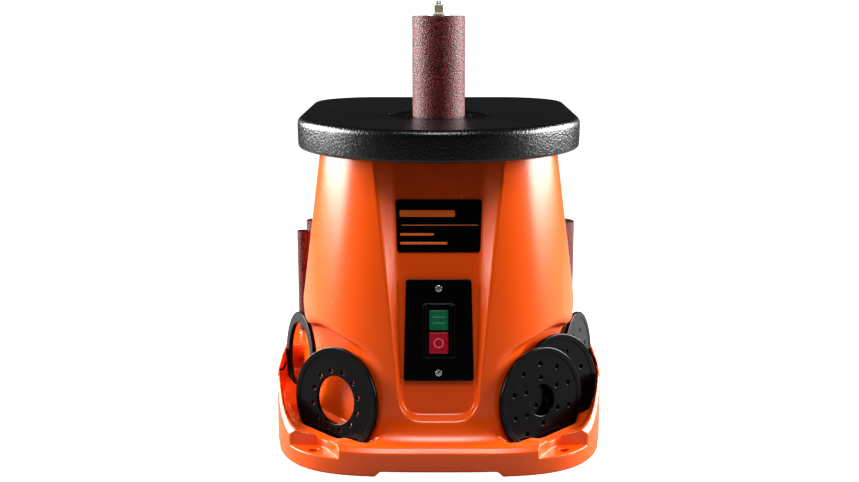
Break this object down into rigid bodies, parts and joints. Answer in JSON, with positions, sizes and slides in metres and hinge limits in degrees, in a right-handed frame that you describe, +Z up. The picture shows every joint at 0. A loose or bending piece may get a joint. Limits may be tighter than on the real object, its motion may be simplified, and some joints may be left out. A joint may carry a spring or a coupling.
{
  "type": "oscillating spindle sander",
  "caption": "Benchtop oscillating spindle sander: moulded body with storage for drums and inserts, cast table and a vertical sanding spindle.",
  "frame": {"origin": "centre of the footprint, on the bench under the feet", "axes": "+Z up along the spindle; the switch panel faces -Y; +X is to the right seen from the front"},
  "size_m": [0.3398, 0.4097, 0.448],
  "materials": {
    "housing_orange": "satin, finely textured",
    "black_plastic": "satin moulded",
    "table_black": "black hammered powder coat",
    "steel": "ground",
    "zinc": "yellow-tinted zinc plate",
    "cast_alloy": "as cast",
    "dark_steel": "oiled",
    "rubber": "matt",
    "abrasive": "coarse abrasive grain on cloth",
    "green_plastic": "gloss",
    "red_plastic": "gloss",
    "label_film": "printed film, gloss",
    "motor_paint": "satin enamel",
    "bronze": "machined",
    "sheet_steel": "zinc-coated sheet"
  },
  "bodies": {
    "machine": {"housing": "housing_orange", "base_plate": "sheet_steel", "foot_front_left": "rubber", "foot_front_right": "rubber", "foot_rear_left": "rubber", "foot_rear_right": "rubber", "table": "table_black", "table_bolt_1": "steel", "table_bolt_2": "steel", "table_bolt_3": "steel", "table_bolt_4": "steel", "label_plate": "label_film", "switch_plate": "black_plastic", "switch_body": "black_plastic", "switch_screw_upper": "zinc", "switch_screw_lower": "zinc", "guide_rod_left": "steel", "guide_rod_right": "steel", "hub_bearing": "steel", "wheel_axle": "steel", "drive_deck": "cast_alloy", "guide_bridge": "cast_alloy", "motor_stator": "dark_steel", "drive_belt": "rubber", "motor_case": "motor_paint", "dust_chute": "black_plastic", "dust_port": "black_plastic", "cord_gland": "black_plastic"},
    "carriage": {"lift_carriage": "cast_alloy", "spindle_bearing_lower": "steel", "spindle_bearing_upper": "steel"},
    "spindle": {"spindle": "steel", "washer_lower": "steel", "drum_51": "rubber", "sleeve_51": "abrasive", "washer_upper": "zinc", "spindle_nut": "zinc"},
    "pulley_shaft": {"spindle_pulley": "dark_steel", "worm": "dark_steel"},
    "motor_shaft": {"motor_rotor": "steel", "motor_fan": "black_plastic", "motor_pulley": "dark_steel"},
    "worm_wheel": {"worm_wheel": "bronze"},
    "start_button": {"start_button": "green_plastic"},
    "stop_button": {"stop_button": "red_plastic"},
    "table_insert": {"table_insert_51": "black_plastic"},
    "stored_insert_38": {"insert_38": "black_plastic"},
    "stored_insert_76": {"insert_76": "black_plastic"},
    "stored_insert_26": {"insert_26": "black_plastic"},
    "stored_insert_19": {"insert_19": "black_plastic"},
    "stored_insert_13": {"insert_13": "black_plastic"},
    "spare_76": {"drum_76": "rubber", "sleeve_76": "abrasive"},
    "spare_38": {"drum_38": "rubber", "sleeve_38": "abrasive"},
    "spare_26": {"drum_26": "rubber", "sleeve_26": "abrasive"},
    "spare_19": {"drum_19": "rubber", "sleeve_19": "abrasive"},
    "spare_13": {"sleeve_13": "abrasive"}
  },
  "joints": [
    {"name": "carriage_stroke", "type": "slide", "parent": "machine", "child": "carriage", "axis": [0, 0, 1], "range_m": [-0.008, 0.008]},
    {"name": "spindle_spin", "type": "hinge", "parent": "carriage", "child": "spindle", "pos_m": [0, -0.035, 0.24], "axis": [0, 0, 1], "continuous": true},
    {"name": "pulley_spin", "type": "hinge", "parent": "machine", "child": "pulley_shaft", "pos_m": [0, -0.035, 0.14], "axis": [0, 0, 1], "continuous": true},
    {"name": "motor_spin", "type": "hinge", "parent": "machine", "child": "motor_shaft", "pos_m": [0, 0.057, 0.18], "axis": [0, 0, 1], "continuous": true},
    {"name": "worm_wheel_turn", "type": "hinge", "parent": "machine", "child": "worm_wheel", "pos_m": [0, -0.071, 0.171], "axis": [1, 0, 0], "continuous": true},
    {"name": "start_press", "type": "slide", "parent": "machine", "child": "start_button", "axis": [0, 0.9867, -0.1628], "range_m": [0, 0.0025], "stiffness_N_per_m": 300, "springref_m": -0.001},
    {"name": "stop_press", "type": "slide", "parent": "machine", "child": "stop_button", "axis": [0, 0.9867, -0.1628], "range_m": [0, 0.0025], "stiffness_N_per_m": 300, "springref_m": -0.001},
    {"name": "table_insert_lift", "type": "slide", "parent": "machine", "child": "table_insert", "axis": [0, 0, 1], "range_m": [0, 0.13]},
    {"name": "stored_insert_38_lift", "type": "slide", "parent": "machine", "child": "stored_insert_38", "axis": [0.0629, 0.0835, 0.9945], "range_m": [0, 0.006]},
    {"name": "stored_insert_26_lift", "type": "slide", "parent": "machine", "child": "stored_insert_26", "axis": [-0.0629, 0.0835, 0.9945], "range_m": [0, 0.006]},
    {"name": "stored_insert_19_lift", "type": "slide", "parent": "machine", "child": "stored_insert_19", "axis": [-0.0658, 0.0812, 0.9945], "range_m": [0, 0.006]},
    {"name": "stored_insert_13_lift", "type": "slide", "parent": "machine", "child": "stored_insert_13", "axis": [-0.0485, 0.0196, 0.9986], "range_m": [0, 0.006]},
    {"name": "stored_insert_76_lift", "type": "slide", "parent": "machine", "child": "stored_insert_76", "axis": [0.0485, 0.0196, 0.9986], "range_m": [0, 0.006]},
    {"name": "spare_76_lift", "type": "slide", "parent": "machine", "child": "spare_76", "axis": [0, 0, 1], "range_m": [0, 0.075]},
    {"name": "spare_38_lift", "type": "slide", "parent": "machine", "child": "spare_38", "axis": [0, 0, 1], "range_m": [0, 0.075]},
    {"name": "spare_26_lift", "type": "slide", "parent": "machine", "child": "spare_26", "axis": [0, 0, 1], "range_m": [0, 0.075]},
    {"name": "spare_19_lift", "type": "slide", "parent": "machine", "child": "spare_19", "axis": [0, 0, 1], "range_m": [0, 0.075]},
    {"name": "spare_13_lift", "type": "slide", "parent": "machine", "child": "spare_13", "axis": [0, 0, 1], "range_m": [0, 0.075]}
  ],
  "couplings": [
    {"joint": "pulley_spin", "follows": "spindle_spin", "ratio": 1},
    {"joint": "motor_spin", "follows": "spindle_spin", "ratio": 0.7},
    {"joint": "worm_wheel_turn", "follows": "spindle_spin", "ratio": -0.029412}
  ]
}
